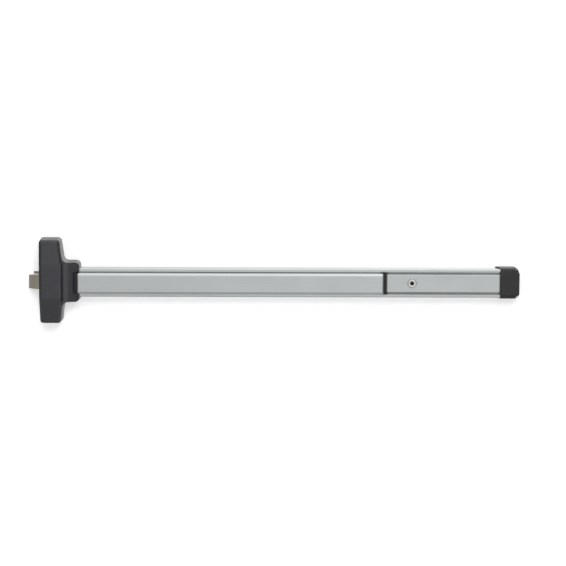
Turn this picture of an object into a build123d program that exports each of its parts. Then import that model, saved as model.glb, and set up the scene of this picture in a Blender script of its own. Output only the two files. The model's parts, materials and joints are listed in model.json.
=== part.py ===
from build123d import *
import os
from math import asin, cos, radians, sin

# Touch-bar panic exit device, rim latch, 48 in door size, in mm.
# X runs along the bar from the latch case to the end cap, Y points into the
# door (the door face is y = 0 and the device stands out to -Y), Z is up.
# The origin is the centre of the latch case's four-bolt pattern on the door face.
# "Front" means towards -Y, "left" towards -X.
os.makedirs("parts", exist_ok=True)

SIDES = (-1, 1)

# ---- latch case ----
CASE_TOP, CASE_BOTTOM = 104.9, -98.3
CASE_LEFT = -29.0
CASE_DEPTH = 60.0                  # over the raised panel
NECK_DEPTH = 53.2                  # beside the panel
NECK_END_DEPTH = 43.8              # at the neck's right end
NECK_RIGHT = 69.0
NECK_TOP, NECK_BOTTOM = 50.5, -47.2
PLATE_Y = -3.0                     # front face of the chassis plate

# ---- rail ----
RAIL_HEIGHT, RAIL_WALL = 68.0, 2.2
RAIL_BACK, RAIL_FRONT = PLATE_Y, -41.0
RAIL_X0, RAIL_X1 = 38.0, 1112.0
RAIL_CHAMFER = 1.8
LIP_GAP = 26.4                     # half opening between the lips
WEB_Y = RAIL_BACK - RAIL_WALL      # front face of the rail's web
FOOT_Y = WEB_Y - 2.0               # front face of the bracket feet on the web

# ---- touch bar ----
PAD_HALF, PAD_WALL = 49.0 / 2, 2.2
PAD_FRONT = -62.0
PAD_X0, PAD_X1 = 64.9, 794.0
PAD_CAP_T = 3.1

# ---- filler plate and end cap ----
FILLER_HALF, FILLER_WALL, FILLER_FRONT = 44.0 / 2, 2.4, -42.2
FILLER_X0, FILLER_X1 = 803.0, 1074.2
CAP_X0, CAP_X1 = 1074.5, 1120.0
CAP_FLARE = 9.0                    # how far the cap's skirt runs back over the rail
CAP_HALF, CAP_TIER_HALF = 73.6 / 2, 55.0 / 2
CAP_FRONT = -46.6

# ---- fasteners ----
DOOR_BOLT_R = 3.3
BOLT_X, BOLT_Z = 14.0, 72.0        # latch case door bolts, half spacings
END_BOLTS = [(1076.0 + side * 24.0, 0) for side in SIDES]
SCREW_R, SCREW_HOLE_R = 2.0, 2.05
CASE_SCREW_Y = -20.0               # axis depth of cover and end cap screws
CAP_SCREW_Z = (-11, 11)

# ---- bell cranks and drive rod ----
CRANK_X = (190.0, 670.0)
CRANKS = tuple(zip(("left", "right"), CRANK_X))
PIVOT_Y = -29.4
HALF_SWING = radians(18.0)         # a crank swings twice this
PAD_ARM, ROD_ARM = 24.0, 19.4
PAD_TIP_DX = -PAD_ARM * cos(HALF_SWING)
PAD_TIP_Y = PIVOT_Y - PAD_ARM * sin(HALF_SWING)
ROD_TIP_DX = -ROD_ARM * sin(HALF_SWING)
ROD_TIP_Y = PIVOT_Y + ROD_ARM * cos(HALF_SWING)
ROD_Y0, ROD_Y1, ROD_HALF = -12.0, -8.0, 9.0
ROD_X1 = 848.4
STUD_X, STUD_Z = 7.99, -20.92
PIN_R, PIN_HOLE_R = 3.0, 3.02
ANCHOR_X = 492.0
RETURN_SPRING_Y = -17.6

# ---- latch works ----
LEVER_X, LEVER_Z = 14.0, -40.0     # retractor lever pivot
LEVER_R = 40.0                     # drive pin radius
LATCH_TRAVEL = 24.0
LEVER_LEAN = asin(LATCH_TRAVEL / 2 / LEVER_R)      # half of the lever's swing
LATCH_HALF = 16.4
SPRING_X1 = 34.3                   # right end of both latch springs
LATCH_SPRING_Y, LATCH_SPRING_Z = -28.5, 12.1
DEADLATCH_SPRING_Y, DEADLATCH_Z = -17.0, 21.4
DEADLATCH_HALF = 3.0

# ---- dogging ----
DOG_X = 863.6
CAM_R = 11.0

# ---- (x, z) places of screws driven along +Y ----
RAIL_SCREWS = [(58, 17), (58, -17), (98, 17), (98, -17)]
LATCH_GUIDE_SCREWS = [(-12, 32), (-12, -23.2)]
CRANK_SCREWS = [(x, z) for x in CRANK_X for z in (-18, 18)]
ANCHOR_SCREWS = [(ANCHOR_X, -17.5), (ANCHOR_X, 17.5)]
ROD_GUIDE_X = (300.0, 590.0)
ROD_GUIDE_SCREWS = [(x, z) for x in ROD_GUIDE_X for z in (-14, 14)]
DOG_SCREWS = [(DOG_X, -20.0), (DOG_X, 20.0)]


# =====================================================================
# helpers
# =====================================================================
def box(x0, x1, y0, y1, z0, z1):
    centre = Pos((x0 + x1) / 2, (y0 + y1) / 2, (z0 + z1) / 2)
    return centre * Box(abs(x1 - x0), abs(y1 - y0), abs(z1 - z0))


def cyl_x(x0, x1, y, z, radius):
    return Pos((x0 + x1) / 2, y, z) * Rot(0, 90, 0) * Cylinder(radius, abs(x1 - x0))


def cyl_y(x, y0, y1, z, radius):
    return Pos(x, (y0 + y1) / 2, z) * Rot(90, 0, 0) * Cylinder(radius, abs(y1 - y0))


def cyl_z(x, y, z0, z1, radius):
    return Pos(x, y, (z0 + z1) / 2) * Cylinder(radius, abs(z1 - z0))


def outline(corners):
    """Closed polygon. A corner is (u, v), or (u, v, radius) where it is rounded."""
    face = make_face(Polyline(*[Vector(*corner[:2]) for corner in corners], close=True))
    round_corners = [corner for corner in corners if len(corner) == 3]
    for u, v, radius in sorted(round_corners, key=lambda corner: corner[2]):
        vertex = face.vertices().sort_by_distance(Vector(u, v, 0))[0]
        face = fillet(vertex, radius)
    return face


def rounded_rect(u0, u1, v0, v1, radius):
    return outline([(u, v, radius) for u, v in ((u0, v0), (u1, v0), (u1, v1), (u0, v1))])


def mirrored(half):
    """Corners of half an outline, followed by their mirror image in v = 0."""
    return half + [(u, -v, *radius) for u, v, *radius in reversed(half)]


def prism_x(face, x0, x1):
    """A face drawn as (y, z), run along X."""
    return extrude(Plane.YZ.offset(x0) * face, x1 - x0)


def prism_y(face, y0, y1, taper=0.0):
    """A face drawn as (x, z), run from y0 forward to y1 (y1 is the smaller)."""
    return extrude(Plane.XZ.offset(-y0) * face, y0 - y1, taper=taper)


def prism_z(face, z0, z1):
    """A face drawn as (x, y), run along Z."""
    return extrude(Plane.XY.offset(z0) * face, z1 - z0)


def drilled(part, places, radius, y0, y1):
    """The part with holes along Y at the (x, z) places."""
    for x, z in places:
        part -= cyl_y(x, y0, y1, z, radius)
    return part


def front_rim(part):
    return part.edges().filter_by(GeomType.CIRCLE).sort_by(Axis.Y)[0]


def try_fillet(part, edges, radii):
    """Fillet with the first of the radii that works, else leave the part alone."""
    for radius in radii:
        # the kernel can refuse a radius that is too large for these edges
        try:
            result = fillet(edges, radius)
            if result.is_valid and result.volume > 0:
                return result
        except Exception:
            continue
    return part


def save(name, *parts):
    solids = [solid for part in parts for solid in part.solids()]
    piece = solids[0] if len(solids) == 1 else Compound(children=solids)
    piece.label = name
    export_step(piece, f"parts/{name}.step")


def spring_x(x0, x1, y, z, radius, wire, turns):
    """Coil spring along X."""
    length = x1 - x0 - wire
    path = Helix(pitch=length / turns, height=length, radius=radius)
    section = Plane(origin=path @ 0, z_dir=path % 0) * Circle(wire / 2)
    coil = sweep(section, path=path, is_frenet=True)
    return Pos(x0 + wire / 2, y, z) * Rot(0, 90, 0) * coil


def pan_screws(places, seat_y, head_r, head_h, length):
    """Cross-recessed pan head screws driven along +Y at the (x, z) places."""
    screws = []
    for x, z in places:
        head = cyl_y(x, seat_y, seat_y - head_h, z, head_r)
        head = fillet(front_rim(head), head_h * 0.6)
        screw = head + cyl_y(x, seat_y - 0.2, seat_y + length, z, SCREW_R)
        reach, half_width = head_r * 0.62, 0.45
        y0, y1 = seat_y - head_h - 1, seat_y - head_h * 0.45
        for dx, dz in ((reach, half_width), (half_width, reach)):
            screw -= box(x - dx, x + dx, y0, y1, z - dz, z + dz)
        screws.append(screw)
    return screws


def ring_y(x, y0, y1, z, outer_r, inner_r):
    return cyl_y(x, y0, y1, z, outer_r) - cyl_y(x, y0, y1, z, inner_r)


def clip(x, y0, y1, z, outer_r, inner_r, half_gap):
    """Flat retaining clip, open downwards."""
    opening = box(x - half_gap, x + half_gap, y0 + 1, y1 - 1, z - outer_r - 1, z)
    return ring_y(x, y0, y1, z, outer_r, inner_r) - opening


# =====================================================================
# latch case: chassis plate
# =====================================================================
chassis_corners = [
    (-24.2, -93.6, 6), (20.8, -93.6, 6), (24, -46), (24, -27, 4), (110, -27, 4),
    (110, 27, 4), (24, 27, 4), (23.4, 54), (17.4, 100.4, 6), (-25, 100.4, 6),
]
chassis = prism_y(outline(chassis_corners), 0, PLATE_Y)
chassis += box(-25.4, -23.0, PLATE_Y, -28, 66, 84)          # cover screw tab, upper
chassis += box(-24.1, -21.7, PLATE_Y, -28, -76, -58)        # cover screw tab, lower
chassis += box(-9, 9, PLATE_Y, -28, -93.6, -91.2)           # cover screw tab, bottom
chassis += box(34.4, 36.4, PLATE_Y, -35, 9.7, 18.4)         # latch spring abutment
chassis += box(34.4, 36.4, PLATE_Y, -23, 18.4, 27)          # deadlatch spring abutment
door_bolts = [(sx * BOLT_X, sz * BOLT_Z) for sx in SIDES for sz in SIDES]
chassis = drilled(chassis, door_bolts, DOOR_BOLT_R, 1, -4)
chassis = drilled(chassis, RAIL_SCREWS + LATCH_GUIDE_SCREWS, SCREW_HOLE_R, 1, -4)
chassis -= cyl_y(LEVER_X, 1, -4, LEVER_Z, 4.02)             # lever pivot pin seat
for z in (75, -67):
    chassis -= cyl_x(-27, -20, CASE_SCREW_Y, z, SCREW_HOLE_R)
chassis -= cyl_z(0, CASE_SCREW_Y, -96, -89, SCREW_HOLE_R)
chassis -= cyl_y(0, 1, -4, 52, 8.0)                         # cylinder tailpiece hole
save("chassis_plate", chassis)


# =====================================================================
# latch case: cover shell
# =====================================================================
def raised_panel():
    face = outline([
        (-27.0, CASE_BOTTOM, 9), (CASE_LEFT, -38), (CASE_LEFT, CASE_TOP, 9),
        (21.5, CASE_TOP, 9), (28.2, 56), (28.6, -48), (25.0, CASE_BOTTOM, 9),
    ])
    panel = prism_y(face, 0, -CASE_DEPTH, taper=2.0)
    # the front falls back towards the top and the bottom
    side_profile = [
        (1, -110), (1, 118), (-53.0, 118), (-54.2, 105), (-CASE_DEPTH, 44.0, 60),
        (-CASE_DEPTH, -37.0, 60), (-54.2, -98), (-53.0, -110),
    ]
    panel = panel & prism_x(outline(side_profile), -60, 60)

    def on_front_rim(edge):
        centre, size = edge.center(), edge.bounding_box().size
        crosses_front = abs(centre.X) < 20 and size.Z < 0.5 and -90 < centre.Z < 98
        return centre.Y < -50 and size.Y < 8 and not crosses_front

    rim = [edge for edge in panel.edges() if on_front_rim(edge)]
    return try_fillet(panel, rim, [7.0, 6.5, 6.0, 5.0, 4.0, 3.0])


def case_neck():
    face = outline([
        (-10, CASE_BOTTOM), (24.5, CASE_BOTTOM, 9), (30.4, NECK_BOTTOM, 13),
        (NECK_RIGHT, NECK_BOTTOM, 11), (NECK_RIGHT, NECK_TOP, 11),
        (30.0, NECK_TOP, 13), (22.8, CASE_TOP, 9), (-10, CASE_TOP),
    ])
    neck = prism_y(face, 0, -58, taper=1.5)
    # seen from above, the front slopes back towards the right end
    level_end = Vector(31, -NECK_DEPTH)
    slope_start = Vector(46, -NECK_DEPTH + 2.3)
    slope_end = Vector(72, -NECK_END_DEPTH + 1.0)
    plan = make_face(
        Polyline(Vector(-20, 1), Vector(-20, -NECK_DEPTH), level_end)
        + TangentArc(level_end, slope_start, tangent=Vector(1, 0))
        + Polyline(slope_start, slope_end)
        + Polyline(slope_end, Vector(72, 1), Vector(-20, 1))
    )
    neck = neck & prism_z(plan, -110, 115)
    side_profile = [
        (1, -110), (1, 118), (-46.0, 118), (-47.0, 105), (-58, 52, 60),
        (-58, -47, 60), (-47.0, -98), (-46.0, -110),
    ]
    neck = neck & prism_x(outline(side_profile), -60, 90)

    def on_front_rim(edge):
        centre, size = edge.center(), edge.bounding_box().size
        crosses_front = (size.Z < 0.5 and centre.X < 26
                         and (40 < centre.Z < 70 or -65 < centre.Z < -38))
        return centre.Y < -38 and centre.X > 10 and size.Y <= 20 and not crosses_front

    rim = [edge for edge in neck.edges() if on_front_rim(edge)]
    return try_fillet(neck, rim, [2.8, 2.4, 2.0, 1.7, 1.5])


def case_cavity():
    main = outline([
        (-24.6, CASE_BOTTOM + 3.6, 6), (-26.3, -38), (-26.3, CASE_TOP - 3.4, 6),
        (18.8, CASE_TOP - 3.4, 6), (25.0, 54), (25.4, -46), (22.2, CASE_BOTTOM + 3.4, 6),
    ])
    cavity = prism_y(main, 1, -44.2, taper=1.5)
    cavity += prism_y(rounded_rect(-24.0, 22.0, -84, 92, 5), -30, -51.0)
    cavity += prism_y(rounded_rect(-23.5, 23.0, -34, 42, 3), -30, -57.2)
    z0, z1 = NECK_BOTTOM + 2.8, NECK_TOP - 2.8
    in_neck = outline([(10, z0), (66.0, z0, 8), (66.0, z1, 8), (10, z1)])
    cavity += prism_y(in_neck, 1, -41.3, taper=1.0)
    return cavity


# Cover screws lie along local +Z with the head face at z = 0.
CS_HEAD_R, CS_DEPTH = 3.9, 1.9
COVER_SCREW_PLACES = [
    Pos(-28.05, CASE_SCREW_Y, 75) * Rot(0, 90, 0),
    Pos(-27.1, CASE_SCREW_Y, -67) * Rot(0, 90, 0),
    Pos(0, CASE_SCREW_Y, CASE_BOTTOM + 1.0),
]


def countersink():
    hole_r = 2.1
    cutter = cyl_z(0, 0, -3, 6, hole_r)
    cutter += Pos(0, 0, CS_DEPTH / 2) * Cone(CS_HEAD_R, hole_r, CS_DEPTH)
    cutter += cyl_z(0, 0, -3, 0, CS_HEAD_R)
    return cutter


def flat_screw():
    screw = Pos(0, 0, CS_DEPTH / 2 + 0.1) * Cone(CS_HEAD_R - 0.1, SCREW_R, CS_DEPTH)
    screw += cyl_z(0, 0, CS_DEPTH, 9, SCREW_R)
    for dx, dy in ((2.2, 0.4), (0.4, 2.2)):
        screw -= box(-dx, dx, -dy, dy, -1, 1.1)
    return screw


# clearance around the rail, shared by the case and the end cap
hole_half, hole_front = RAIL_HEIGHT / 2 + 0.25, -41.3
rail_hole = outline(mirrored([
    (2, -hole_half), (hole_front + RAIL_CHAMFER, -hole_half, 1),
    (hole_front, -hole_half + RAIL_CHAMFER, 1),
]))

cover = raised_panel() + case_neck()
# the panel's right rim stays square along the valley
rim_profile = [
    (-50, -42.5), (-57.6, -42.5), (-59.92, -37.5), (-59.92, 44.4), (-57.6, 47.6), (-50, 47.6),
]
cover += prism_x(outline(rim_profile), 17.0, 26.2)
# valley between the raised panel and the neck
valley = [(26.3, -45.0, 1.2), (29.7, -45.0, 1.2), (30.9, -62), (26.0, -62)]
cover -= prism_z(outline(valley), -43.5, 48.2)
cover -= case_cavity()
# the rail slides in through the neck's end wall
cover -= prism_x(rail_hole, 60, 80)
# front notch where the pad's end runs in
NOTCH_X, NOTCH_HALF = 54.6, 25.4
notch = [
    (NOTCH_X, -NOTCH_HALF, 3), (90, -NOTCH_HALF), (90, NOTCH_HALF), (NOTCH_X, NOTCH_HALF, 3),
]
cover -= prism_y(outline(notch), -38, -60)
notch_edges = [
    edge for edge in cover.edges()
    if abs(edge.center().X - NOTCH_X) < 0.4 and edge.center().Y < -44
    and edge.bounding_box().size.Z > 30
]
cover = try_fillet(cover, notch_edges, [4.0, 3.0, 2.0, 1.0])
# latch and deadlatch slots through the left wall
cover -= prism_x(rounded_rect(-41.6, -13.2, -17.0, 17.0, 1.2), -40, -20)
cover -= prism_x(rounded_rect(-23.2, -10.8, 17.9, 25.0, 1.0), -40, -20)
for place in COVER_SCREW_PLACES:
    cover -= place * countersink()
save("case_cover", cover)
save("cover_screws", *[place * flat_screw() for place in COVER_SCREW_PLACES])

# =====================================================================
# latch case: works
# =====================================================================
GUIDE_X0, GUIDE_X1, GUIDE_Y = -23, -1, -41.8
guide = box(GUIDE_X0, GUIDE_X1, -43.5, GUIDE_Y, -18.9, 27.8)         # front bridge
guide += box(GUIDE_X0, GUIDE_X1, GUIDE_Y, PLATE_Y, -18.9, -16.9)     # lower leg
guide += box(GUIDE_X0, GUIDE_X1, GUIDE_Y, PLATE_Y, 24.9, 27.8)       # upper leg
guide += box(GUIDE_X0, GUIDE_X1, GUIDE_Y, -8.0, 16.7, 18.0)          # divider
guide += box(GUIDE_X0, GUIDE_X1, -5.0, PLATE_Y, 27.8, 37)            # upper foot
guide += box(GUIDE_X0, GUIDE_X1, -5.0, PLATE_Y, -28, -18.9)          # lower foot
front_edges = [edge for edge in guide.edges().filter_by(Axis.X) if edge.center().Y < -43]
guide = try_fillet(guide, front_edges, [1.2, 0.8])
save("latch_guide", drilled(guide, LATCH_GUIDE_SCREWS, SCREW_HOLE_R, -2, -6))
save("latch_guide_screws",
     *pan_screws(LATCH_GUIDE_SCREWS, seat_y=-5.0, head_r=3.6, head_h=2.2, length=4.6))


def lever_point(across, along):
    """(x, z) of a point on the lever in its rest pose."""
    return (LEVER_X - along * sin(LEVER_LEAN) + across * cos(LEVER_LEAN),
            LEVER_Z + along * cos(LEVER_LEAN) + across * sin(LEVER_LEAN))


DRIVE_X, DRIVE_Z = lever_point(0, LEVER_R)


def latch_bolt():
    """Wedge nose in front, square back face that bears on the strike."""
    tip_low, tip_high = Vector(-53.4, -23.8), Vector(-54.6, -21.0)
    nose_face = make_face(
        Polyline(tip_high, Vector(-54.6, -15.2), Vector(-53.4, -14.0), Vector(-24.5, -14.0),
                 Vector(-24.5, -40.6), Vector(-31.0, -40.6), tip_low)
        + ThreePointArc(tip_low, Vector(-54.3, -22.5), tip_high)
    )
    nose = prism_z(nose_face, -LATCH_HALF, LATCH_HALF)
    end_edges = [
        edge for edge in nose.edges()
        if abs(abs(edge.center().Z) - LATCH_HALF) < 0.01 and edge.center().X < -25
    ]
    nose = try_fillet(nose, end_edges, [0.9, 0.6])
    latch = nose + box(-25.5, 10, -39, -18, -LATCH_HALF, LATCH_HALF)
    latch -= box(DRIVE_X - 3.35, DRIVE_X + 3.35, -28.5, -17, -5.34, 3.5)  # drive pin window
    latch -= cyl_x(-22, 11, LATCH_SPRING_Y, LATCH_SPRING_Z, 3.7)         # spring bore
    latch -= box(-19, -3, -40, -33, -11.5, 6.5)                          # lightening pocket
    tail_edges = [edge for edge in latch.edges().filter_by(Axis.Y) if edge.center().X > 9.9]
    return try_fillet(latch, tail_edges, [1.5, 1.0])


def deadlatch():
    face = outline([
        (-43.6, -13.2), (-43.6, -15.2, 1.4), (-33, -22.0, 3.0), (14, -22.0),
        (14, -12.0), (-42.4, -12.0),
    ])
    finger = prism_z(face, DEADLATCH_Z - DEADLATCH_HALF, DEADLATCH_Z + DEADLATCH_HALF)
    end_edges = [
        edge for edge in finger.edges()
        if abs(abs(edge.center().Z - DEADLATCH_Z) - DEADLATCH_HALF) < 0.01
        and edge.center().X < 12
    ]
    finger = try_fillet(finger, end_edges, [0.8, 0.5])
    return finger - cyl_x(8, 15, DEADLATCH_SPRING_Y, DEADLATCH_Z, 2.6)


save("latch_bolt", latch_bolt())
save("deadlatch", deadlatch())
save("latch_spring", spring_x(-21.8, SPRING_X1, LATCH_SPRING_Y, LATCH_SPRING_Z,
                              radius=2.8, wire=0.9, turns=15))
save("deadlatch_spring", spring_x(8.3, SPRING_X1, DEADLATCH_SPRING_Y, DEADLATCH_Z,
                                  radius=2.0, wire=0.6, turns=10))


def retractor_lever():
    """Lever leaning by half its swing, with a slot for the rod stud."""
    y0, y1 = -13.0, -17.0
    arm = [(-6.5, 0), (6.5, 0), (5.2, LEVER_R), (-5.2, LEVER_R)]
    lever = prism_y(outline([lever_point(*corner) for corner in arm]), y0, y1)
    lever += cyl_y(LEVER_X, y0, y1, LEVER_Z, 7.5)
    lever += cyl_y(DRIVE_X, y0, y1, DRIVE_Z, 5.5)
    lever += cyl_y(LEVER_X, -6.0, y0, LEVER_Z, 6.5)         # pivot boss towards the plate
    lever -= cyl_y(LEVER_X, -2, -30, LEVER_Z, 4.05)
    slot_half, slot_start, slot_end = 3.35, 18.7, 20.4
    slot = [(-slot_half, slot_start), (slot_half, slot_start),
            (slot_half, slot_end), (-slot_half, slot_end)]
    lever -= prism_y(outline([lever_point(*corner) for corner in slot]), -12, -18)
    ends = [lever_point(0, along) for along in (slot_start, slot_end)]
    lever = drilled(lever, ends, slot_half, -12, -18)
    return lever - cyl_y(DRIVE_X, -12, -18, DRIVE_Z, PIN_HOLE_R)


save("retractor_lever", retractor_lever())
pivot_pin = cyl_y(LEVER_X, 0.0, -20.0, LEVER_Z, 4.0)
pivot_pin -= ring_y(LEVER_X, -17.6, -18.8, LEVER_Z, 10, 3.2)         # clip groove
save("lever_pivot_pin", pivot_pin)
drive_pin = cyl_y(DRIVE_X, -13.2, -26.0, DRIVE_Z, PIN_R)
save("lever_drive_pin", chamfer(front_rim(drive_pin), 0.6))
save("lever_clip", clip(LEVER_X, -17.7, -18.6, LEVER_Z, outer_r=6.4, inner_r=3.3, half_gap=2.2))

# =====================================================================
# rail: C channel, open to the front between its lips
# =====================================================================
rail_half = RAIL_HEIGHT / 2
inner_half = rail_half - RAIL_WALL
lip_back = RAIL_FRONT + RAIL_WALL
rail_profile = mirrored([
    (RAIL_BACK, -rail_half, 1.0), (RAIL_FRONT + RAIL_CHAMFER, -rail_half, 0.9),
    (RAIL_FRONT, -rail_half + RAIL_CHAMFER, 0.9), (RAIL_FRONT, -LIP_GAP, 0.5),
    (lip_back, -LIP_GAP, 0.5), (lip_back, -inner_half + 0.9),
    (lip_back + 0.9, -inner_half), (WEB_Y, -inner_half, 0.8),
])
rail = prism_x(outline(rail_profile), RAIL_X0, RAIL_X1)
for side in SIDES:                                          # low ribs that stiffen the web
    rail += box(RAIL_X0, RAIL_X1, WEB_Y, WEB_Y - 1.2, side * 28.6, side * 30.2)
web_screws = RAIL_SCREWS + CRANK_SCREWS + ANCHOR_SCREWS + ROD_GUIDE_SCREWS + DOG_SCREWS
rail = drilled(rail, web_screws, SCREW_HOLE_R, 0, -8)
rail = drilled(rail, END_BOLTS, 5.0, 0, -8)
save("mechanism_rail", rail)
save("rail_screws",
     *pan_screws(RAIL_SCREWS, seat_y=WEB_Y, head_r=3.4, head_h=2.0, length=4.9))

# =====================================================================
# touch bar and its ends
# =====================================================================
PAD_INNER = PAD_HALF - PAD_WALL
pad_profile = mirrored([
    (PAD_FRONT, PAD_HALF, 5.5), (-38.2, PAD_HALF, 0.4), (-38.2, 30.3, 0.6), (-36.0, 30.3, 0.6),
    (-36.0, PAD_INNER, 0.4), (-55.2, PAD_INNER), (-55.2, 16.2, 0.5), (-56.8, 16.2, 0.5),
    (-56.8, PAD_INNER), (PAD_FRONT + PAD_WALL, PAD_INNER, 2.5),
])
pad_inset = PAD_CAP_T + 0.1
save("touch_bar", prism_x(outline(pad_profile), PAD_X0 + pad_inset, PAD_X1 - pad_inset))


def pad_cap(outer_x, inward):
    """Rounded end cap with three tongues; inward is +1 or -1 along X."""
    inner_x = outer_x + inward * PAD_CAP_T
    tongue_x = inner_x + inward * 12
    profile = mirrored([(PAD_FRONT, PAD_HALF, 5.5), (-36.0, PAD_HALF, 0.6)])
    cap = prism_x(outline(profile), *sorted((outer_x, inner_x)))
    edges = [
        edge for edge in cap.edges()
        if abs(edge.center().X - outer_x) < 0.01 and edge.center().Y <= -37
    ]
    cap = try_fillet(cap, edges, [2.4, 1.8, 1.2])
    cap += box(inner_x, tongue_x, -59.6, -57.0, -20.5, 20.5)
    for side in SIDES:
        cap += box(inner_x, tongue_x, -54.9, -37.0, side * 19.8, side * 22.0)
    return cap


save("pad_cap_left", pad_cap(PAD_X0, 1))
save("pad_cap_right", pad_cap(PAD_X1, -1))


def guide_block(x0, x1, front, half):
    """Guide with a face between the rail's lips and wings behind them."""
    profile = mirrored([
        (front, half, 1.2), (-40.7, half), (-40.7, 26.1), (-38.6, 26.1), (-38.6, 29.0),
        (-36.9, 30.5), (-34.6, 30.5), (-34.6, 22.6), (-38.0, 22.6),
    ])
    return prism_x(outline(profile), x0, x1)


left_guide = guide_block(44.0, 63.9, front=-44.6, half=24.9)
for x in (58.2, 61.4):                                      # upright grooves in the front
    left_guide -= box(x - 0.7, x + 0.7, -45.6, -43.4, -22.9, 22.9)
left_guide -= box(43, 57.7, -50, -41.0, -30, 30)
save("pad_guide_left", left_guide)
right_guide = guide_block(794.8, 802.6, front=-45.6, half=23.6)
for side in SIDES:                           # tabs that cover the gap beside the pad's end
    right_guide += box(788.0, 802.6, -44.4, -41.0, side * 24.8, side * 26.1)
    right_guide += box(794.8, 802.6, -44.4, -40.0, side * 23.0, side * 26.1)
save("pad_guide_right", right_guide)

LIFT_SCREW_DX = (-37, -10)


def lift_bracket(crank_x):
    """Slides into the pad's T-slots; its legs carry the crank's link pin."""
    bracket = box(crank_x - 40, crank_x + 8, -59.6, -57.1, -20.4, 20.4)
    for side in SIDES:
        bracket += box(crank_x - 34, crank_x - 14, -57.2, -32.4, side * 13.0, side * 15.2)
    for side in SIDES:
        corners = [
            edge for edge in bracket.edges().filter_by(Axis.Z)
            if abs(edge.center().Z - side * 14.1) < 0.2 and edge.center().Y > -33
        ]
        bracket = try_fillet(bracket, corners, [4.0, 2.0])
    # slot for the link pin
    slot_x0, slot_x1, slot_r = crank_x - 24.25, crank_x - 22.6, 3.35
    bracket -= box(slot_x0, slot_x1, PAD_TIP_Y - slot_r, PAD_TIP_Y + slot_r, -20, 20)
    bracket -= cyl_z(slot_x0, PAD_TIP_Y, -20, 20, slot_r) + cyl_z(
        slot_x1, PAD_TIP_Y, -20, 20, slot_r)
    return drilled(bracket, [(crank_x + dx, 0) for dx in LIFT_SCREW_DX], 1.6, -56, -61)


def lift_screw(x):
    screw = cyl_y(x, -57.1, -55.3, 0, 2.8) + cyl_y(x, -55.3, -59.75, 0, 1.55)
    return screw - box(x - 1.9, x + 1.9, -56.0, -55.0, -0.35, 0.35)


for name, x in CRANKS:
    save(f"lift_bracket_{name}", lift_bracket(x))
save("lift_bracket_screws", *[lift_screw(x + dx) for x in CRANK_X for dx in LIFT_SCREW_DX])


# =====================================================================
# bell cranks in the rail
# =====================================================================
def crank_bracket(x):
    bracket = box(x - 6, x + 8, -39.8, -37.6, -11.8, 11.8)
    for side in SIDES:
        z0, z1 = side * 9.6, side * 11.8
        bracket += box(x - 6, x + 8, -37.7, WEB_Y, z0, z1)
        bracket += box(x - 8, x - 5.9, -34.0, WEB_Y, z0, z1)
        bracket += box(x - 8, x + 8, FOOT_Y, WEB_Y, z1, side * 22.6)
    edges = [edge for edge in bracket.edges().filter_by(Axis.X) if edge.center().Y < -39.7]
    bracket = try_fillet(bracket, edges, [1.6, 1.0])
    bracket -= cyl_z(x, PIVOT_Y, -15, 15, 3.0)
    return drilled(bracket, [(x, -18), (x, 18)], SCREW_HOLE_R, -4, -9)


def crank_pivot_pin(x):
    pin = cyl_z(x, PIVOT_Y, -12.4, 12.4, 2.97)
    pin += cyl_z(x, PIVOT_Y, -12.9, -11.85, 4.2) + cyl_z(x, PIVOT_Y, 11.85, 12.9, 4.2)
    return pin


def crank_arm(pivot_x, tip_x, tip_y, across, root_half, tip_half, half_height):
    """Tapered arm from the pivot to its tip; across is the unit vector over its width."""
    across_x, across_y = across
    corners = [
        (x + half * across_x, y + half * across_y)
        for x, y, half in (
            (pivot_x, PIVOT_Y, root_half), (pivot_x, PIVOT_Y, -root_half),
            (tip_x, tip_y, -tip_half), (tip_x, tip_y, tip_half),
        )
    ]
    return prism_z(outline(corners), -half_height, half_height)


def bell_crank(x):
    """At rest the pad arm leans forward and the rod arm left, by half the swing."""
    swing_cos, swing_sin = cos(HALF_SWING), sin(HALF_SWING)
    pad_x, rod_x = x + PAD_TIP_DX, x + ROD_TIP_DX
    crank = cyl_z(x, PIVOT_Y, -9.3, 9.3, 6.5)
    crank += crank_arm(x, pad_x, PAD_TIP_Y, (swing_sin, -swing_cos), 6.0, 4.6, 7.0)
    crank += cyl_z(pad_x, PAD_TIP_Y, -7.0, 7.0, 5.2)
    crank += crank_arm(x, rod_x, ROD_TIP_Y, (swing_cos, swing_sin), 5.4, 2.5, 4.0)
    crank += cyl_z(rod_x, ROD_TIP_Y, -4.0, 4.0, 3.5)
    crank -= cyl_z(x, PIVOT_Y, -12, 12, 3.05)
    return crank - cyl_z(pad_x, PAD_TIP_Y, -9, 9, PIN_HOLE_R)


def pad_bumper(x):
    bumper = cyl_y(x, -39.8, -41.9, 0, 5.0)
    return fillet(front_rim(bumper), 1.0)


for name, x in CRANKS:
    save(f"crank_bracket_{name}", crank_bracket(x))
    save(f"bell_crank_{name}", bell_crank(x))
    link_pin = cyl_z(x + PAD_TIP_DX, PAD_TIP_Y, -17.0, 17.0, PIN_R)
    link_pin = chamfer(link_pin.edges().filter_by(GeomType.CIRCLE), 0.5)
    save(f"crank_link_pin_{name}", link_pin)
save("crank_pivot_pins", *[crank_pivot_pin(x) for x in CRANK_X])
save(
    "bracket_screws",
    *pan_screws(CRANK_SCREWS + ANCHOR_SCREWS, FOOT_Y, head_r=3.4, head_h=2.0, length=4.1),
    *pan_screws(ROD_GUIDE_SCREWS, FOOT_Y, head_r=3.0, head_h=1.8, length=4.1),
)
save("pad_bumpers", *[pad_bumper(x + 1) for x in CRANK_X])

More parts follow.
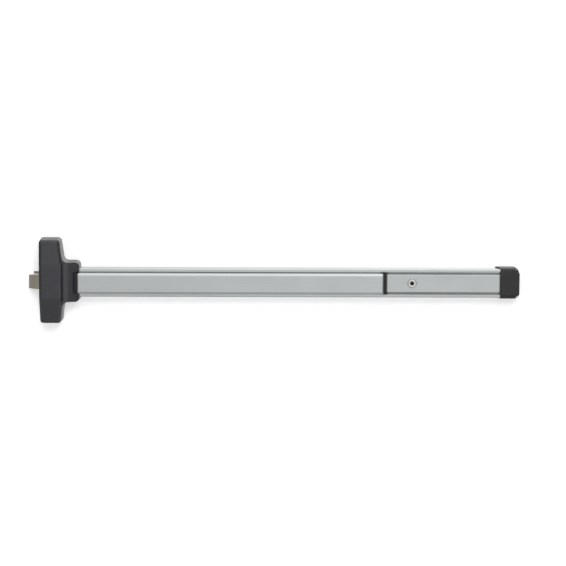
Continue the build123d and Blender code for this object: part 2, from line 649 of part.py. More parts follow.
# =====================================================================
# drive rod: flat bar along the rail, windows for the crank tips
# =====================================================================
rod = box(0, ROD_X1, ROD_Y0, ROD_Y1, -ROD_HALF, ROD_HALF)
rod += box(0, 16, ROD_Y0, ROD_Y1, -27.5, -ROD_HALF + 0.1)            # tab for the stud
for crank_x in CRANK_X:
    tip_x = crank_x + ROD_TIP_DX
    rod -= box(tip_x - 3.85, tip_x + 3.85, -14, -6, -4.5, 4.5)
rod += box(ROD_X1 - 5.0, ROD_X1, -18.0, ROD_Y0 + 0.1, -3.0, 3.0)     # dogging tab
rod += box(430.0, 433.5, -23.0, ROD_Y0 + 0.1, -7.0, 7.0)             # return spring tab
for x in (90, 245, 370, 540, 610, 730, 800):                         # lightening slots
    rod -= (box(x - 12, x + 12, -14, -6, -3.5, 3.5)
            + cyl_y(x - 12, -6, -14, 0, 3.5) + cyl_y(x + 12, -6, -14, 0, 3.5))
rod -= cyl_y(STUD_X, -6, -14, STUD_Z, PIN_HOLE_R)
rod -= cyl_x(429, 435, RETURN_SPRING_Y, 0, 2.52)
save("drive_rod", rod)
stud = cyl_y(STUD_X, ROD_Y1, -18.6, STUD_Z, PIN_R)
save("rod_stud", chamfer(front_rim(stud), 0.5))
guide_pin = cyl_x(430.0, 512.0, RETURN_SPRING_Y, 0, 2.5)
right_rim = guide_pin.edges().filter_by(GeomType.CIRCLE).sort_by(Axis.X)[-1]
save("spring_guide_pin", chamfer(right_rim, 0.7))
save("return_spring",
     spring_x(433.6, 490.4, RETURN_SPRING_Y, 0, radius=3.7, wire=1.1, turns=11))

anchor_x0, anchor_x1 = ANCHOR_X - 1.4, ANCHOR_X + 1.4
anchor = box(anchor_x0, anchor_x1, -24.0, -12.6, -13.2, 13.2)
for side in SIDES:
    anchor += box(anchor_x0, anchor_x1, -24.0, WEB_Y, side * 10.8, side * 13.2)
    anchor += box(ANCHOR_X - 6, ANCHOR_X + 6, FOOT_Y, WEB_Y, side * 10.8, side * 22.6)
anchor -= cyl_x(480, 500, RETURN_SPRING_Y, 0, 2.6)
save("spring_anchor", drilled(anchor, ANCHOR_SCREWS, SCREW_HOLE_R, -4, -9))


def rod_guide(x):
    """Bridge over the rod with a foot above and below."""
    bridge = box(x - 10, x + 10, -14.6, WEB_Y, -10.8, 10.8)
    edges = [edge for edge in bridge.edges().filter_by(Axis.X) if edge.center().Y < -14]
    bridge = try_fillet(bridge, edges, [1.6])
    for side in SIDES:
        bridge += box(x - 8, x + 8, FOOT_Y, WEB_Y, side * 10.7, side * 18.4)
    bridge -= box(x - 11, x + 11, -12.2, -5, -9.2, 9.2)
    return drilled(bridge, [(x, -14), (x, 14)], SCREW_HOLE_R, -4, -9)


save("rod_guides", *[rod_guide(x) for x in ROD_GUIDE_X])

# =====================================================================
# filler plate and dogging
# =====================================================================
filler_profile = mirrored([
    (FILLER_FRONT, FILLER_HALF, 1.9), (-38.4, FILLER_HALF, 0.3), (-38.4, 30.2, 0.5),
    (-36.4, 30.2, 0.5), (-36.4, FILLER_HALF - FILLER_WALL, 0.3),
    (FILLER_FRONT + FILLER_WALL, FILLER_HALF - FILLER_WALL, 0.4),
])
filler = prism_x(outline(filler_profile), FILLER_X0, FILLER_X1)
filler -= cyl_y(DOG_X, -30, -50, 0, 8.05)
save("filler_plate", filler)

flange_y = FILLER_FRONT - 2.4
ferrule = cyl_y(DOG_X, FILLER_FRONT, flange_y, 0, 10.3)
ferrule = fillet(front_rim(ferrule), 1.8)
ferrule += cyl_y(DOG_X, FILLER_FRONT - 0.1, -38.4, 0, 8.0)
ferrule -= Pos(DOG_X, flange_y + 0.8, 0) * Rot(90, 0, 0) * Cone(4.4, 6.0, 1.62)
ferrule -= cyl_y(DOG_X, -36, -50, 0, 4.4)
save("dogging_ferrule", ferrule)

DOG_FOOT_Y = -7.4
dog_x0, dog_x1 = DOG_X - 12, DOG_X + 12
dog_bracket = box(dog_x0, dog_x1, -31.0, -28.6, -27.6, 27.6)
for side in SIDES:
    dog_bracket += box(dog_x0, dog_x1, -28.7, WEB_Y, side * 25.4, side * 27.6)
    dog_bracket += box(dog_x0, dog_x1, DOG_FOOT_Y, WEB_Y, side * 15.0, side * 25.5)
dog_bracket -= cyl_y(DOG_X, -20, -40, 0, 5.05)
dog_bracket = drilled(dog_bracket, DOG_SCREWS, SCREW_HOLE_R, -4, -9)
edges = [edge for edge in dog_bracket.edges().filter_by(Axis.X) if edge.center().Y < -30.9]
save("dogging_bracket", try_fillet(dog_bracket, edges, [1.4, 1.0]))
save("dogging_bracket_screws",
     *pan_screws(DOG_SCREWS, DOG_FOOT_Y, head_r=3.2, head_h=2.0, length=4.3))

dog_screw = cyl_y(DOG_X, -31.1, -34.6, 0, 7.6)
dog_screw = chamfer(front_rim(dog_screw), 0.7)
dog_screw += cyl_y(DOG_X, -31.2, -19.2, 0, 5.0)
hexagon = Pos(DOG_X, 0) * RegularPolygon(3.1, 6)
dog_screw -= extrude(Plane.XZ.offset(30.0) * hexagon, 8)
dog_screw -= ring_y(DOG_X, -27.4, -28.4, 0, 9, 4.1)                  # clip groove
save("dogging_screw", dog_screw)
save("dogging_clip", clip(DOG_X, -27.5, -28.3, 0, outer_r=7.4, inner_r=4.2, half_gap=2.8))

# cam arm pressed on the screw, with an eccentric stop pin on the door side
cam = cyl_y(DOG_X, -22.4, -19.2, 0, 8.0)
cam += box(DOG_X - 4.2, DOG_X + 4.2, -22.4, -19.2, 0, CAM_R)
cam += cyl_y(DOG_X, -22.4, -19.2, CAM_R, 4.2)
cam += cyl_y(DOG_X, -19.3, -13.0, CAM_R, 2.2)
cam -= cyl_y(DOG_X, -18, -24, 0, 5.02)
save("dogging_cam", cam)

# =====================================================================
# far end: door bracket and end cap
# =====================================================================
end_bracket = box(1036, 1115.0, -3.0, 0, -30, 30)
edges = [edge for edge in end_bracket.edges().filter_by(Axis.Y) if edge.center().X < 1037]
end_bracket = try_fillet(end_bracket, edges, [5])
end_bracket += box(1112.6, 1115.0, -31.0, -2.9, -17, 17)
end_bracket = drilled(end_bracket, END_BOLTS, DOOR_BOLT_R, 1, -4)
for z in CAP_SCREW_Z:
    end_bracket -= cyl_x(1110, 1117, CASE_SCREW_Y, z, SCREW_HOLE_R)
save("end_bracket", end_bracket)


def end_cap():
    """Rounded base with a flared left edge, and a shallow raised tier in front."""
    base_x0, base_x1 = CAP_X0 - CAP_FLARE, CAP_X1 - 0.6
    base_face = outline([(base_x0, -CAP_HALF), (base_x1, -CAP_HALF, 11),
                         (base_x1, CAP_HALF, 11), (base_x0, CAP_HALF)])
    base = prism_y(base_face, 0, -42.6)
    edges = [
        edge for edge in base.edges()
        if edge.center().Y < -42.5 and edge.center().X > CAP_X0 - 8
    ]
    base = try_fillet(base, edges, [8.5, 7.0, 5.0])
    cut_x = CAP_X0 - 20
    flare_front, flare_back = Vector(CAP_X0, -33), Vector(base_x0, -7)
    flare = make_face(
        Polyline(Vector(cut_x, 2), Vector(cut_x, -60), Vector(CAP_X0, -60), flare_front)
        + ThreePointArc(flare_front, Vector(CAP_X0 - 2.8, -19.5), flare_back)
        + Polyline(flare_back, Vector(base_x0, 2), Vector(cut_x, 2))
    )
    base -= prism_z(flare, -60, 60)
    tier_face = outline([(CAP_X0, -CAP_TIER_HALF), (CAP_X1, -CAP_TIER_HALF, 2.2),
                         (CAP_X1, CAP_TIER_HALF, 2.2), (CAP_X0, CAP_TIER_HALF)])
    tier = prism_y(tier_face, -20, CAP_FRONT)
    edges = [
        edge for edge in tier.edges()
        if edge.center().Y < CAP_FRONT + 0.1 and edge.center().X > CAP_X0 + 0.1
    ]
    tier = try_fillet(tier, edges, [1.2, 1.0])
    cap = base + tier
    cap -= prism_x(rail_hole, CAP_X0 - 30, CAP_X1 - 3.6)
    cap -= box(CAP_X0 + 2.6, CAP_X1 - 3.2, CAP_FRONT + 2.6, -38, -24, 24)
    for z in CAP_SCREW_Z:
        cap -= cyl_x(1110, 1125, CASE_SCREW_Y, z, 2.1)
        cap -= cyl_x(CAP_X1 - 2.2, 1125, CASE_SCREW_Y, z, 4.2)
    return cap


def end_cap_screw(z):
    screw = cyl_x(CAP_X1 - 2.1, CAP_X1 - 0.7, CASE_SCREW_Y, z, 4.0)
    screw += cyl_x(1109, CAP_X1 - 2.0, CASE_SCREW_Y, z, SCREW_R)
    for dy, dz in ((2.4, 0.45), (0.45, 2.4)):
        screw -= box(CAP_X1 - 1.5, CAP_X1, CASE_SCREW_Y - dy, CASE_SCREW_Y + dy, z - dz, z + dz)
    return screw


save("end_cap", end_cap())
save("end_cap_screws", *[end_cap_screw(z) for z in CAP_SCREW_Z])
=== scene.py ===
# Door exit device: a long touch bar with end cap, latch, deadlatch and return springs.
# Metres. The bar runs along X, its front faces -Y, the door is on the +Y side and +Z is up.
# The CAD pieces get procedural materials, and three spring pieces become real coils.
import bpy, bmesh, math, json
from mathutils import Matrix, Quaternion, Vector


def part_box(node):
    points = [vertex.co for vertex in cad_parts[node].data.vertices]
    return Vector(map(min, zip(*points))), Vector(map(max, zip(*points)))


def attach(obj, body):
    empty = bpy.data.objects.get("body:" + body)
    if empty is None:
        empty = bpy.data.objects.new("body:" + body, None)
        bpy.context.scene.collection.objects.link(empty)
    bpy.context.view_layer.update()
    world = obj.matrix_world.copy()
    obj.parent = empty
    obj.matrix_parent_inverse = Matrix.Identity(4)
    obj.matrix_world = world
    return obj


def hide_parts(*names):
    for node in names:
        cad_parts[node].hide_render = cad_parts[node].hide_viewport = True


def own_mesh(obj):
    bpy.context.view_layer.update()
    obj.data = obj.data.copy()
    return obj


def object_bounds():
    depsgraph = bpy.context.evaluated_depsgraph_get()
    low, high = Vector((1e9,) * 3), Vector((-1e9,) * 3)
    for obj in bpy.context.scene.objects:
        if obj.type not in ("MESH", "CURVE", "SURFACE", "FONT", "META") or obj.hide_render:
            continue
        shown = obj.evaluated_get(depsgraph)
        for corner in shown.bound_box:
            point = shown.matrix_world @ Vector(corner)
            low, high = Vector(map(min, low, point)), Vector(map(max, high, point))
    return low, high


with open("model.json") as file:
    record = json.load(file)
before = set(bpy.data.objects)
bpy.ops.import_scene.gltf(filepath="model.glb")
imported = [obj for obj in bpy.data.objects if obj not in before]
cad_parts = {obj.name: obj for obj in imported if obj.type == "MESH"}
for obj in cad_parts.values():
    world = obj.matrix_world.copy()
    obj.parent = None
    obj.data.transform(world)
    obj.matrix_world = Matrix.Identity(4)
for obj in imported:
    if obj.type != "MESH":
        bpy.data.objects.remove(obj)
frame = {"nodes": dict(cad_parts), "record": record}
NODES = frame["nodes"]
SLOT_OF = {part["node"]: part["material_slot"] for part in frame["record"].get("subparts", [])}


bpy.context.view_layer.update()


# --------------------------------------------------------------------
# node graph helpers
# --------------------------------------------------------------------
class Graph:
    """Adds nodes to one node tree. An input may be a value or an output socket."""

    def __init__(self, tree):
        self.tree = tree

    def put(self, node, inputs):
        for key, value in inputs.items():
            socket = node.inputs[key]
            if isinstance(value, bpy.types.NodeSocket):
                self.tree.links.new(value, socket)
            elif socket.type == "RGBA":
                socket.default_value = (*value, 1.0)
            else:
                socket.default_value = value

    def node(self, kind, inputs=None, **settings):
        node = self.tree.nodes.new("ShaderNode" + kind)
        for key, value in settings.items():
            setattr(node, key, value)
        self.put(node, inputs or {})
        return node

    def remap(self, value, span=(0.3, 0.7), to=(0.0, 1.0), **settings):
        """Map span onto to, clamped. The default span is the useful middle of a noise."""
        ranges = {"From Min": span[0], "From Max": span[1], "To Min": to[0], "To Max": to[1]}
        return self.node("MapRange", {**ranges, "Value": value}, **settings).outputs["Result"]

    def math(self, operation, first, second=None):
        inputs = {0: first} if second is None else {0: first, 1: second}
        return self.node("Math", inputs, operation=operation).outputs[0]

    def mix_shader(self, factor, first, second):
        return self.node("MixShader", {0: factor, 1: first, 2: second}).outputs[0]


class Surface(Graph):
    """A new material with one Principled shader, textured in object coordinates."""

    def __init__(self, name):
        self.material = bpy.data.materials.new(name)
        self.material.use_nodes = True
        super().__init__(self.material.node_tree)
        self.tree.nodes.clear()
        output = self.node("OutputMaterial")
        self.shader = self.node("BsdfPrincipled")
        self.put(output, {"Surface": self.shader.outputs["BSDF"]})
        self.coords = self.node("TexCoord").outputs["Object"]

    def finish(self, inputs):
        """Fill in the Principled shader and hand back the material."""
        self.put(self.shader, inputs)
        return self.material

    def mapped(self, stretch=(1, 1, 1)):
        return self.node("Mapping", {"Scale": stretch, "Vector": self.coords}).outputs["Vector"]

    def noise(self, scale=1.0, detail=3.0, rough=0.5, distortion=0.0, stretch=(1, 1, 1)):
        return self.node("TexNoise", {
            "Vector": self.mapped(stretch), "Scale": scale, "Detail": detail,
            "Roughness": rough, "Distortion": distortion}).outputs["Fac"]

    def mix(self, factor, first, second, blend="MIX"):
        # on the Mix node, sockets 6 and 7 and output 2 are the colour ones
        node = self.node("Mix", {0: factor, 6: first, 7: second},
                         data_type="RGBA", blend_type=blend)
        return node.outputs[2]

    def bump(self, height, strength, distance, under=None):
        """Bump normal, laid over the normal given as under."""
        inputs = {"Strength": strength, "Distance": distance, "Height": height}
        if under is not None:
            inputs["Normal"] = under
        return self.node("Bump", inputs).outputs["Normal"]

    def edges(self, radius):
        """About 1 on outer and inner edges, 0 on flats."""
        bevel = self.node("Bevel", {"Radius": radius}, samples=4)
        flat = self.node("NewGeometry")
        dot = self.node("VectorMath", {0: bevel.outputs["Normal"], 1: flat.outputs["Normal"]},
                        operation="DOT_PRODUCT")
        return self.remap(dot.outputs["Value"], span=(0.998, 0.86))

    def crevice_shade(self, distance, low, shut=0.42, clear=0.82):
        """Painted shade: 1 on open faces, down to low in gaps and corners narrower than distance.
        """
        occlusion = self.node("AmbientOcclusion", {"Distance": distance}, samples=8)
        return self.remap(occlusion.outputs["AO"], span=(shut, clear), to=(low, 1.0))

    def grey(self, value):
        return self.node("CombineColor", {0: value, 1: value, 2: value}).outputs[0]


def shade(color, factor):
    return tuple(max(0.0, min(1.0, channel * factor)) for channel in color)


def around(middle, below, above):
    return middle - below, middle + above


def stretched(axis, along, across):
    """Noise scales that draw the pattern out along one axis."""
    return tuple(along if letter == axis else across for letter in "XYZ")


# --------------------------------------------------------------------
# kinds of finish
# --------------------------------------------------------------------
def powder(name, base, rough, peel=1.0, spec=0.5):
    """Powder coat: orange-peel bump, faint tone drift, edges lightened by wear and a painted
    highlight.
    """
    surf = Surface(name)
    fine = surf.noise(scale=1250.0, rough=0.55)
    broad = surf.noise(scale=14.0, detail=4.0, rough=0.6)
    speck = surf.node("TexVoronoi", {"Scale": 900.0, "Vector": surf.mapped()}).outputs["Distance"]
    color = surf.mix(surf.remap(broad, span=(0.35, 0.68)), shade(base, 0.93), shade(base, 1.08))
    color = surf.mix(surf.remap(speck, span=(0.0, 0.16), to=(0.22, 0.0)), color, shade(base, 1.9))
    # painted highlight and wear: the edges, broken up by noise, are lightened towards a pale grey
    edge_patches = surf.noise(scale=160.0, detail=4.0, rough=0.7)
    wear_and_highlight = surf.math("MULTIPLY", surf.edges(radius=0.0007),
                     surf.remap(edge_patches, span=(0.46, 0.66), to=(0.0, 0.55)))
    color = surf.mix(wear_and_highlight, color, (0.30, 0.31, 0.33))
    roughness = surf.math("ADD", surf.remap(fine, to=around(rough, 0.05, 0.06)),
                          surf.remap(broad, to=(-0.03, 0.03)))
    normal = surf.bump(fine, strength=0.10 * peel, distance=0.00012)
    normal = surf.bump(surf.noise(scale=380.0, detail=2.0),
                       strength=0.06 * peel, distance=0.0003, under=normal)
    return surf.finish({"Base Color": color, "Roughness": roughness, "Normal": normal,
                        "Specular IOR Level": spec, "Coat Weight": 0.10, "Coat Roughness": 0.22})


def anodised(name, base, gap, rough=0.33, axis="X", line=1.0):
    """Satin anodised extrusion: grain and die lines along the bar, handling marks, a painted
    highlight and wear on the edges, painted shade in the gaps.
    """
    surf = Surface(name)
    grain = surf.noise(rough=0.65, stretch=stretched(axis, along=5.0, across=1500.0))
    die = surf.noise(detail=2.0, stretch=stretched(axis, along=0.6, across=260.0))
    matte = surf.noise(scale=2600.0, detail=2.0)
    broad = surf.noise(scale=7.0, detail=4.0, rough=0.6)
    color = surf.mix(surf.remap(grain, span=(0.28, 0.72)), shade(base, 0.95), shade(base, 1.045))
    color = surf.mix(surf.remap(die, to=(0.0, 0.5)), color, shade(base, 0.965))
    color = surf.mix(surf.remap(broad, span=(0.4, 0.7), to=(0.0, 0.30)), color, shade(base, 1.05))
    smear = surf.noise(detail=5.0, rough=0.7, distortion=0.6, stretch=(18.0, 26.0, 26.0))
    # painted highlight and wear: the edges are lightened a little
    wear_and_highlight = surf.math("MULTIPLY", surf.edges(radius=0.0005), 0.35)
    color = surf.mix(wear_and_highlight, color, shade(base, 1.08))
    # painted shade: the colour is darkened by ambient occlusion in gaps and corners
    color = surf.mix(1.0, color, surf.grey(surf.crevice_shade(**gap)), blend="MULTIPLY")
    roughness = surf.math("ADD", surf.remap(grain, to=around(rough, 0.045, 0.05)),
                          surf.remap(smear, span=(0.45, 0.75), to=(0.0, 0.06)))
    normal = surf.bump(grain, strength=0.10 * line, distance=0.00008)
    normal = surf.bump(matte, strength=0.05, distance=0.00006, under=normal)
    normal = surf.bump(die, strength=0.05 * line, distance=0.0002, under=normal)
    return surf.finish({"Base Color": color, "Metallic": 1.0, "Roughness": roughness,
                        "Anisotropic": 0.35, "Normal": normal})


def steel(name, base, rough, axis="X", metal=0.95, tint=None, streak=0.1, wear_and_highlight=0.5):
    """Plated or brushed steel with streaks along one axis, stains and bright edges."""
    surf = Surface(name)
    lines = surf.noise(rough=0.7, stretch=stretched(axis, along=12.0, across=900.0))
    wide = surf.noise(detail=2.0, stretch=stretched(axis, along=6.0, across=190.0))
    cloud = surf.noise(scale=60.0, detail=4.0, rough=0.65)
    color = surf.mix(surf.remap(lines, span=(0.25, 0.75)),
                     shade(base, 1 - streak), shade(base, 1 + streak))
    color = surf.mix(surf.remap(wide, span=(0.35, 0.65), to=(0.0, 0.55)), color, shade(base, 0.88))
    color = surf.mix(surf.remap(cloud, span=(0.45, 0.75), to=(0.0, 0.6)),
                     color, tint or shade(base, 0.85))
    worn = surf.math("MULTIPLY", surf.edges(radius=0.0005), wear_and_highlight)
    color = surf.mix(worn, color, shade(base, 1.5))
    roughness = surf.math("ADD", surf.remap(lines, to=around(rough, 0.06, 0.08)),
                          surf.remap(cloud, span=(0.4, 0.7), to=(-0.02, 0.05)))
    normal = surf.bump(lines, strength=0.18, distance=0.0001)
    normal = surf.bump(cloud, strength=0.06, distance=0.0004, under=normal)
    return surf.finish({"Base Color": color, "Metallic": metal, "Roughness": roughness,
                        "Normal": normal})


def cast(name, base, rough):
    """Cast metal: gritty, gently lumpy, with bright edges."""
    surf = Surface(name)
    grit = surf.noise(scale=1100.0, detail=4.0, rough=0.7)
    lump = surf.noise(scale=180.0, detail=4.0, rough=0.6)
    color = surf.mix(surf.remap(lump, span=(0.35, 0.7)), shade(base, 0.86), shade(base, 1.12))
    wear_and_highlight = surf.math("MULTIPLY", surf.edges(radius=0.0006), 0.6)
    color = surf.mix(wear_and_highlight, color, shade(base, 1.5))
    roughness = surf.remap(grit, to=around(rough, 0.1, 0.1))
    normal = surf.bump(grit, strength=0.25, distance=0.0002)
    normal = surf.bump(lump, strength=0.12, distance=0.0006, under=normal)
    return surf.finish({"Base Color": color, "Metallic": 0.9, "Roughness": roughness,
                        "Normal": normal})


def moulded(name, base, rough, spark):
    """Moulded plastic: spark-eroded texture and faint flow marks."""
    surf = Surface(name)
    texture = surf.noise(scale=1800.0, rough=0.6)
    flow = surf.noise(rough=0.6, distortion=0.8, stretch=(40, 90, 14))
    color = surf.mix(surf.remap(flow, span=(0.35, 0.7)), shade(base, 0.9), shade(base, 1.15))
    wear_and_highlight = surf.math("MULTIPLY", surf.edges(radius=0.0005), 0.35)
    color = surf.mix(wear_and_highlight, color, tuple(min(1, channel + 0.08) for channel in base))
    return surf.finish({"Base Color": color,
                        "Roughness": surf.remap(texture, to=around(rough, 0.08, 0.08)),
                        "Normal": surf.bump(texture, strength=spark, distance=0.00015)})


def plated(name, base, rough):
    """Bright plating with a fine grain and light haze."""
    surf = Surface(name)
    hair = surf.noise(scale=700.0, detail=4.0, rough=0.7)
    cloud = surf.noise(scale=90.0, rough=0.6)
    color = surf.mix(surf.remap(cloud, span=(0.35, 0.7)), shade(base, 0.94), shade(base, 1.04))
    roughness = surf.math("ADD", surf.remap(hair, to=around(rough, 0.04, 0.06)),
                          surf.remap(cloud, span=(0.4, 0.7), to=(0.0, 0.04)))
    return surf.finish({"Base Color": color, "Metallic": 1.0, "Roughness": roughness,
                        "Normal": surf.bump(hair, strength=0.05, distance=0.00006)})


def dusty_rubber(name, base):
    """Matt rubber with a little pale dust."""
    surf = Surface(name)
    texture = surf.noise(scale=1400.0, rough=0.6)
    dust = surf.noise(scale=220.0, detail=5.0, rough=0.75)
    color = surf.mix(surf.remap(dust, span=(0.5, 0.75), to=(0.0, 0.4)), base, (0.16, 0.155, 0.15))
    return surf.finish({"Base Color": color,
                        "Roughness": surf.remap(texture, to=(0.62, 0.86)),
                        "Normal": surf.bump(texture, strength=0.2, distance=0.0002)})


# --------------------------------------------------------------------
# materials of the pieces
# --------------------------------------------------------------------
BAR_COLOR = (0.865, 0.903, 0.897)
# painted shade in the gaps between aluminium pieces: how far it reaches and how dark it gets
NARROW_GAP_SHADE = dict(distance=0.0055, low=0.12)
SOFT_GAP_SHADE = dict(distance=0.0055, low=0.40)
DEEP_GAP_SHADE = dict(distance=0.0060, low=0.03, shut=0.52, clear=0.88)

# slot: (kind of finish, its settings)
FINISHES = {
    "cover_paint": (powder, dict(base=(0.0215, 0.0225, 0.0275), rough=0.27, spec=0.95)),
    "cap_paint": (powder, dict(base=(0.0240, 0.0225, 0.0240), rough=0.40, peel=0.8)),
    "satin_aluminium": (anodised, dict(base=BAR_COLOR, gap=NARROW_GAP_SHADE)),
    "pad_aluminium": (anodised, dict(base=(0.885, 0.924, 0.918), gap=SOFT_GAP_SHADE)),
    "plate_aluminium": (anodised, dict(base=BAR_COLOR, gap=DEEP_GAP_SHADE)),
    "cap_silver": (anodised, dict(base=(0.80, 0.81, 0.80), gap=NARROW_GAP_SHADE, rough=0.30,
                                  axis="Z", line=0.5)),
    "black_plastic": (moulded, dict(base=(0.020, 0.021, 0.020), rough=0.48, spark=0.12)),
    "bright_nickel": (plated, dict(base=(0.86, 0.86, 0.84), rough=0.12)),
    "latch_metal": (steel, dict(base=(0.505, 0.470, 0.377), rough=0.42, axis="Z", metal=0.74,
                                tint=(0.43, 0.40, 0.33), streak=0.16)),
    "plated_steel": (steel, dict(base=(0.58, 0.58, 0.55), rough=0.36,
                                 tint=(0.56, 0.55, 0.48), streak=0.08)),
    "cast_zinc": (cast, dict(base=(0.42, 0.42, 0.42), rough=0.55)),
    "dark_steel": (steel, dict(base=(0.075, 0.075, 0.078), rough=0.42, wear_and_highlight=0.8)),
    "black_screw": (steel, dict(base=(0.05, 0.05, 0.053), rough=0.36, wear_and_highlight=0.8)),
    "spring_steel": (steel, dict(base=(0.46, 0.46, 0.45), rough=0.3)),
    "rubber": (dusty_rubber, dict(base=(0.022, 0.022, 0.022))),
    "nylon": (moulded, dict(base=(0.72, 0.71, 0.66), rough=0.45, spark=0.08)),
}
MATERIALS = {slot: make("m_" + slot, **look) for slot, (make, look) in FINISHES.items()}

# pieces whose material differs from that of their slot: the pad's copy of the aluminium is
# slightly lighter with softer painted gap shade, the plate's has the deepest painted gap shade
OWN_MATERIAL = {"touch_bar": "pad_aluminium", "filler_plate": "plate_aluminium"}

for piece_name, piece in NODES.items():
    slot = OWN_MATERIAL.get(piece_name, SLOT_OF.get(piece_name, "plated_steel"))
    piece.data.materials.clear()
    piece.data.materials.append(MATERIALS[slot])


def add_object(name, data):
    obj = bpy.data.objects.new(name, data)
    bpy.context.scene.collection.objects.link(obj)
    return obj


# --------------------------------------------------------------------
# compression springs along X, with closed ends
# --------------------------------------------------------------------
STEPS_PER_TURN = 28
WIRE_SIDES = 12
END_TAPER = 0.82      # wire size at its two tips
CLOSED_PITCH = 1.02   # pitch of the closed end turns, in wire diameters

# piece replaced, joint, wire diameter, open turns, travel of the joint
SPRINGS = (
    ("return_spring", "rod_slide", 0.0011, 10, 0.01205),
    ("latch_spring", "latch_slide", 0.0009, 14, 0.0241),
    ("deadlatch_spring", "deadlatch_slide", 0.0006, 10, 0.0105),
)


def helix(low, high, cy, cz, wire, open_turns):
    """Centre line of the wire: one closed turn at each end, an even pitch between."""
    radius = (high.z - low.z) / 2 - wire / 2
    length = high.x - low.x - wire
    turns = open_turns + 2
    steps = int(turns * STEPS_PER_TURN)
    closed = wire * CLOSED_PITCH / length    # share of the length one closed turn takes
    points = []
    for i in range(steps + 1):
        angle = 2 * math.pi * turns * (i / steps)
        turn = turns * (i / steps)
        if turn < 1:
            share = closed * turn
        elif turn > turns - 1:
            share = 1 - closed * (turns - turn)
        else:
            share = closed + (1 - 2 * closed) * (turn - 1) / open_turns
        points.append(Vector((low.x + wire / 2 + length * share,
                              cy + radius * math.cos(angle), cz + radius * math.sin(angle))))
    return points


def sweep_wire(name, points, cy, cz, wire):
    """Closed round tube along points that wind about the X line through cy, cz."""
    bm = bmesh.new()
    rings = []
    last = len(points) - 1
    for i, point in enumerate(points):
        tangent = (points[min(last, i + 1)] - points[max(0, i - 1)]).normalized()
        outward = Vector((0, point.y - cy, point.z - cz)).normalized()
        sideways = tangent.cross(outward).normalized()
        size = 1.0 if 0 < i < last else END_TAPER
        ring = []
        for j in range(WIRE_SIDES):
            angle = 2 * math.pi * j / WIRE_SIDES
            offset = outward * math.cos(angle) + sideways * math.sin(angle)
            ring.append(bm.verts.new(point + offset * wire / 2 * size))
        rings.append(ring)
    for ring, following in zip(rings, rings[1:]):
        for j in range(WIRE_SIDES):
            k = (j + 1) % WIRE_SIDES
            bm.faces.new((ring[j], ring[k], following[k], following[j]))
    bm.faces.new(list(reversed(rings[0])))
    bm.faces.new(rings[-1])
    bmesh.ops.recalc_face_normals(bm, faces=bm.faces[:])
    mesh = bpy.data.meshes.new(name)
    bm.to_mesh(mesh)
    bm.free()
    for polygon in mesh.polygons:
        polygon.use_smooth = True
    return mesh


def coil_spring(node, joint, wire, open_turns, travel):
    low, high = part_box(node)
    cy, cz = (low.y + high.y) / 2, (low.z + high.z) / 2
    points = helix(low, high, cy, cz, wire, open_turns)
    name = node + "_coil"
    coil = add_object(name, sweep_wire(name, points, cy, cz, wire))
    coil.data.materials.append(MATERIALS["spring_steel"])
    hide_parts(node)
    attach(coil, "frame")
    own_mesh(coil)


for spring in SPRINGS:
    coil_spring(*spring)

# --------------------------------------------------------------------
# stage: a white wall behind the device, see-through from its back, and
# a white floor below
# --------------------------------------------------------------------
WALL_Y = 0.004
WALL_X = (-4, 5.2)
WALL_TOP = 3.0
FLOOR_Z = -0.9
FLOOR_X = (-1.4, 2.6)
FLOOR_FRONT = -1.5
STAGE_WHITE = 0.9

device_low, device_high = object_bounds()
CENTRE_X = (device_low.x + device_high.x) / 2


def stage_material():
    """Faintly glowing matt white on the front, transparent on the back."""
    material = bpy.data.materials.new("stage_white")
    material.use_nodes = True
    graph = Graph(material.node_tree)
    nodes = graph.tree.nodes
    coords = graph.node("TexCoord").outputs["Object"]
    noise = graph.node("TexNoise", {"Scale": 40.0, "Vector": coords}).outputs["Fac"]
    tone = graph.remap(noise, span=(0.0, 1.0), to=(STAGE_WHITE * 0.995, STAGE_WHITE))
    shader = nodes["Principled BSDF"]
    graph.put(shader, {"Base Color": tone, "Roughness": 0.9, "Specular IOR Level": 0.1,
                       "Emission Color": (1, 1, 1), "Emission Strength": 0.41})
    back = graph.node("NewGeometry").outputs["Backfacing"]
    clear = graph.node("BsdfTransparent").outputs["BSDF"]
    mixed = graph.mix_shader(back, shader.outputs["BSDF"], clear)
    graph.put(nodes["Material Output"], {"Surface": mixed})
    return material


def sheet(name, corners, material):
    mesh = bpy.data.meshes.new(name)
    mesh.from_pydata(corners, [], [(0, 1, 2, 3)])
    obj = add_object(name, mesh)
    mesh.materials.append(material)
    obj.visible_glossy = False    # the metals mirror the studio gradient, not the sheets


white = stage_material()
# corner order turns the wall's front to -Y and the floor's to +Z
sheet("stage_wall", [(WALL_X[0], WALL_Y, FLOOR_Z), (WALL_X[1], WALL_Y, FLOOR_Z),
                     (WALL_X[1], WALL_Y, WALL_TOP), (WALL_X[0], WALL_Y, WALL_TOP)], white)
sheet("stage_floor", [(FLOOR_X[0], FLOOR_FRONT, FLOOR_Z), (FLOOR_X[1], FLOOR_FRONT, FLOOR_Z),
                      (FLOOR_X[1], WALL_Y, FLOOR_Z), (FLOOR_X[0], WALL_Y, FLOOR_Z)], white)


# --------------------------------------------------------------------
# key light: a wide soft lamp, in front and above
# --------------------------------------------------------------------
def key_light(location, target, width, height, power):
    data = bpy.data.lights.new("key", "AREA")
    data.energy = power
    data.shape = "RECTANGLE"
    data.size = width
    data.size_y = height
    lamp = add_object("key", data)
    lamp.location = location
    aim = Vector(target) - Vector(location)
    lamp.rotation_euler = aim.to_track_quat("-Z", "Y").to_euler()
    lamp.visible_glossy = False    # the metals mirror the studio gradient, not the lamp


key_light(location=(CENTRE_X + 0.05, -3.5, 2.2), target=(CENTRE_X, 0, 0),
          width=2.9, height=2.2, power=106)

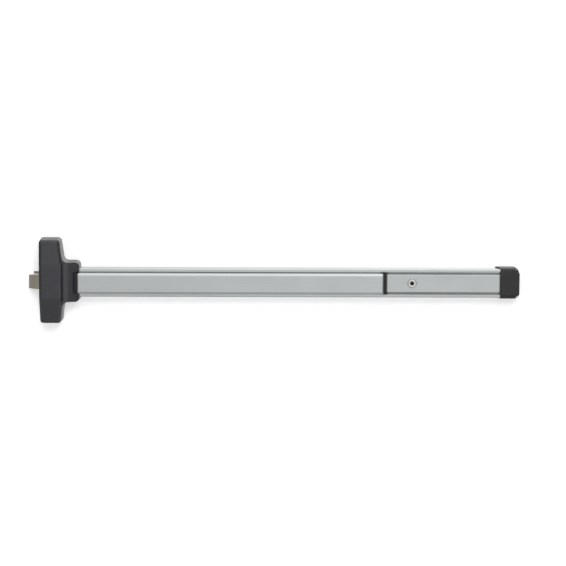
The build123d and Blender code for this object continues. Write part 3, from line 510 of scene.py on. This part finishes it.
# --------------------------------------------------------------------
# world: a soft studio gradient, mainly for the metals to mirror
# --------------------------------------------------------------------
# ramp position (0 is direction -1, 1 is direction +1), grey
HEIGHT_STOPS = ((0.0, 0.30), (0.30, 0.30), (0.40, 0.44), (0.47, 0.64), (0.53, 0.66),
                (0.62, 0.68), (0.76, 0.80), (1.0, 0.80))     # along Z, dark below
BOTTOM_COLOR = (0.30, 0.30, 0.305, 1)                        # a touch bluer
SIDE_STOPS = ((0.0, 0.16), (0.25, 0.18), (0.35, 0.46), (0.45, 0.68), (0.49, 0.89),
              (0.525, 1.04), (0.58, 1.08), (0.635, 0.86), (0.71, 0.28),
              (1.0, 0.16))                                   # along X, dark at both sides
GRADIENT_GAIN = 1.36
DIFFUSE_FILL = 0.40    # share of the gradient that lights diffuse surfaces
CARD_GREY = 0.60
BACKDROP_GREY = 0.90   # what the camera sees directly


def grey_ramp(graph, component, stops):
    """Color ramp over one component of the view direction."""
    place = graph.remap(component, span=(-1, 1))
    ramp = graph.node("ValToRGB", {"Fac": place})
    elements = ramp.color_ramp.elements
    for index, (position, grey) in ((0, stops[0]), (1, stops[-1])):
        elements[index].position = position
        elements[index].color = (grey, grey, grey, 1)
    for position, grey in stops[1:-1]:
        elements.new(position).color = (grey, grey, grey, 1)
    return ramp


def build_world():
    world = bpy.data.worlds.new("studio")
    bpy.context.scene.world = world
    world.use_nodes = True
    graph = Graph(world.node_tree)
    nodes = graph.tree.nodes
    coords = graph.node("TexCoord").outputs["Generated"]
    direction = graph.node("SeparateXYZ", {0: coords}).outputs
    by_height = grey_ramp(graph, direction["Z"], HEIGHT_STOPS)
    by_height.color_ramp.elements[0].color = BOTTOM_COLOR
    by_side = grey_ramp(graph, direction["X"], SIDE_STOPS)
    gain = graph.math("MULTIPLY", by_side.outputs["Color"], GRADIENT_GAIN)
    rays = graph.node("LightPath").outputs
    fill = graph.remap(rays["Is Diffuse Ray"], span=(0.0, 1.0), to=(1.0, DIFFUSE_FILL))
    gradient = nodes["Background"]
    graph.put(gradient, {"Color": by_height.outputs["Color"],
                         "Strength": graph.math("MULTIPLY", gain, fill)})

    # reflector cards at both sides, low and high, seen in the bar from a corner
    off_level = graph.remap(graph.math("ABSOLUTE", direction["Z"]), span=(0.12, 0.32),
                            interpolation_type="SMOOTHSTEP")
    off_centre = graph.remap(graph.math("ABSOLUTE", direction["X"]), span=(0.38, 0.58),
                             interpolation_type="SMOOTHSTEP")
    card_area = graph.math("MULTIPLY", off_level, off_centre)
    cards = graph.node("Background", {"Color": (CARD_GREY,) * 3, "Strength": fill})
    backdrop = graph.node("Background", {"Color": (BACKDROP_GREY,) * 3})
    studio = graph.mix_shader(card_area, gradient.outputs[0], cards.outputs[0])
    seen = graph.mix_shader(rays["Is Camera Ray"], studio, backdrop.outputs[0])
    graph.put(nodes["World Output"], {"Surface": seen})


build_world()

# --------------------------------------------------------------------
# camera: in front of the bar, looking slightly down
# --------------------------------------------------------------------
ELEVATION = math.radians(7.5)
ROLL = math.radians(0.15)
DISTANCE = 5.15
VIEW_WIDTH = 1.36406    # width in view at the target
TARGET = Vector((0.555, 0.0, -0.0050))

camera_data = bpy.data.cameras.new("camera")
camera = add_object("camera", camera_data)
camera.location = TARGET + Vector((0, -math.cos(ELEVATION), math.sin(ELEVATION))) * DISTANCE
aim = (TARGET - camera.location).to_track_quat("-Z", "Y")
camera.rotation_mode = "QUATERNION"
camera.rotation_quaternion = aim @ Quaternion((0, 0, 1), ROLL)
camera_data.sensor_fit = "HORIZONTAL"
camera_data.angle = 2 * math.atan(VIEW_WIDTH / 2 / DISTANCE)
camera_data.clip_end = 50

scene = bpy.context.scene
scene.camera = camera
scene.view_settings.view_transform = "Standard"
scene.view_settings.look = "None"
